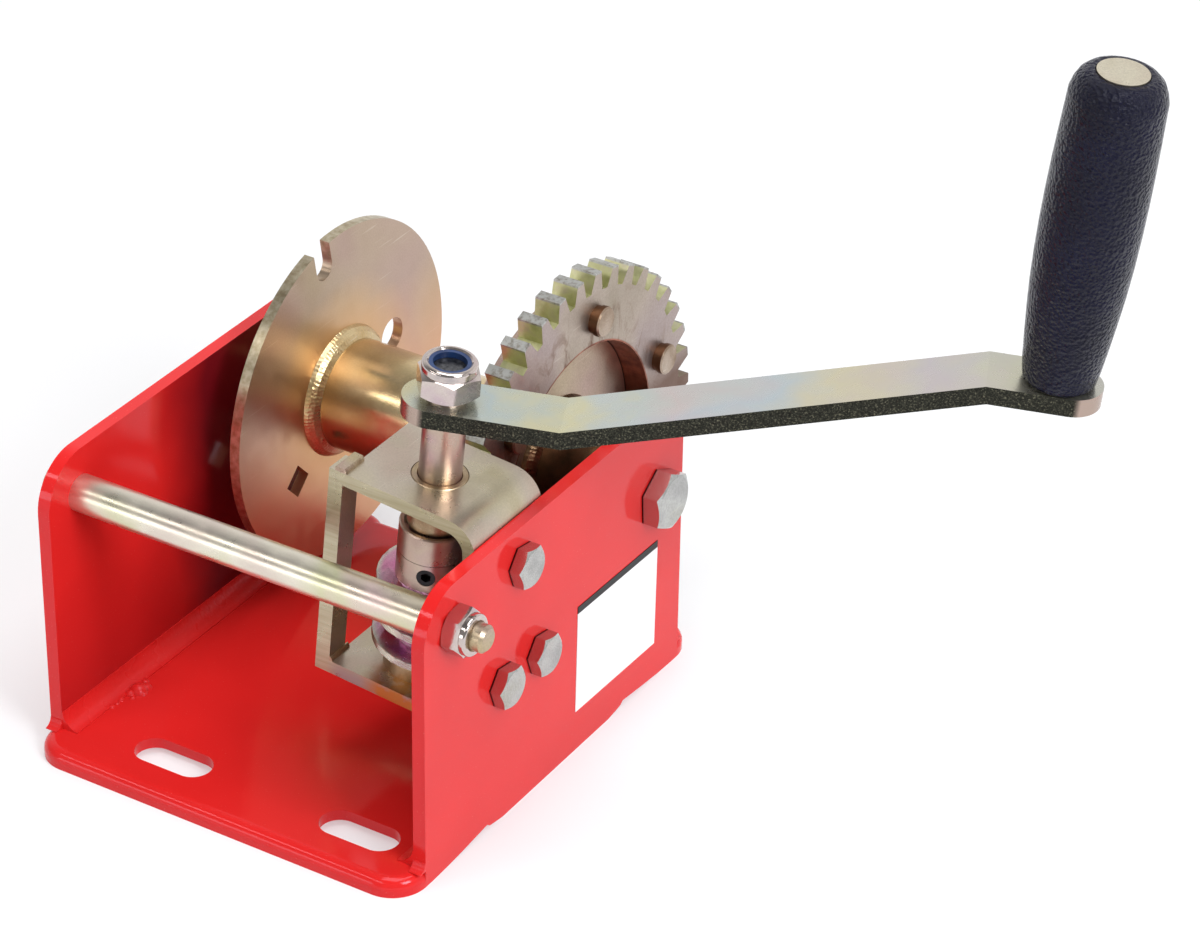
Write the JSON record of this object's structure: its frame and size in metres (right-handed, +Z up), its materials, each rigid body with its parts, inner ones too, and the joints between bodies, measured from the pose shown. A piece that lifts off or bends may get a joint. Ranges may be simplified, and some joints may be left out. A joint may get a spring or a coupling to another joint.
{
  "type": "hand winch",
  "caption": "Hand winch: a rope drum between steel side plates, turned by a long crank with a free-turning grip through a worm and a straight-toothed worm wheel.",
  "frame": {"origin": "middle of the two front base slots, on the plane the base stands on", "axes": "+Z up, +X towards the side plate that carries the crank bracket, +Y from the open front towards the drum"},
  "size_m": [0.4265, 0.2864, 0.3564],
  "materials": {
    "red_paint": "glossy red paint",
    "yellow_zinc": "yellow zinc, satin with faint colour bands",
    "zinc_tube": "pale yellow zinc, satin",
    "silver_zinc": "bright zinc",
    "pink_zinc": "pinkish zinc, polished",
    "arm_zinc": "pale zinc with dark cut edges",
    "rivet_zinc": "yellow zinc",
    "weld_metal": "zinc over a weld bead",
    "bush_metal": "bronze, lightly oiled",
    "pin_gold": "pale yellow zinc",
    "black_screw": "black oxide",
    "blue_nylon": "blue nylon",
    "label_white": "white film with a black band",
    "black_grip": "black plastic with a fine grain"
  },
  "bodies": {
    "frame": {"base_plate": "red_paint", "left_side_plate": "red_paint", "right_side_plate": "red_paint", "frame_welds": "red_paint", "tie_tube": "zinc_tube", "tie_bolt": "silver_zinc", "tie_nut": "silver_zinc", "axle_bolt": "silver_zinc", "axle_nut": "silver_zinc", "label_plate": "label_white", "worm_bracket": "yellow_zinc", "bracket_strut": "yellow_zinc", "strut_welds": "weld_metal", "upper_bush": "bush_metal", "lower_bush": "bush_metal", "bracket_bolts": "silver_zinc", "bracket_nuts": "silver_zinc"},
    "drum": {"drum_barrel": "yellow_zinc", "left_flange": "yellow_zinc", "right_flange": "yellow_zinc", "drum_welds": "weld_metal", "worm_wheel": "yellow_zinc", "wheel_rivets": "rivet_zinc", "drum_bushes": "bush_metal"},
    "crank": {"worm_shaft": "pink_zinc", "worm": "pink_zinc", "collar_lower": "pink_zinc", "collar_upper": "pink_zinc", "set_screw": "black_screw", "crank_arm": "arm_zinc", "crank_nut": "silver_zinc", "nut_ring": "blue_nylon", "grip_pin": "pin_gold"},
    "grip_body": {"grip": "black_grip"}
  },
  "joints": [
    {"name": "drum_spin", "type": "hinge", "parent": "frame", "child": "drum", "pos_m": [-0.01, 0.17, 0.0949], "axis": [1, 0, 0], "continuous": true},
    {"name": "crank_spin", "type": "hinge", "parent": "frame", "child": "crank", "pos_m": [0.0416, 0.0625, 0.0949], "axis": [0.0958, 0, 0.9954], "continuous": true},
    {"name": "grip_spin", "type": "hinge", "parent": "crank", "child": "grip_body", "pos_m": [0.2724, 0.15955, 0.21764], "axis": [0.1133, 0.0078, 0.9935], "continuous": true}
  ],
  "couplings": [
    {"joint": "crank_spin", "follows": "drum_spin", "ratio": -40}
  ]
}
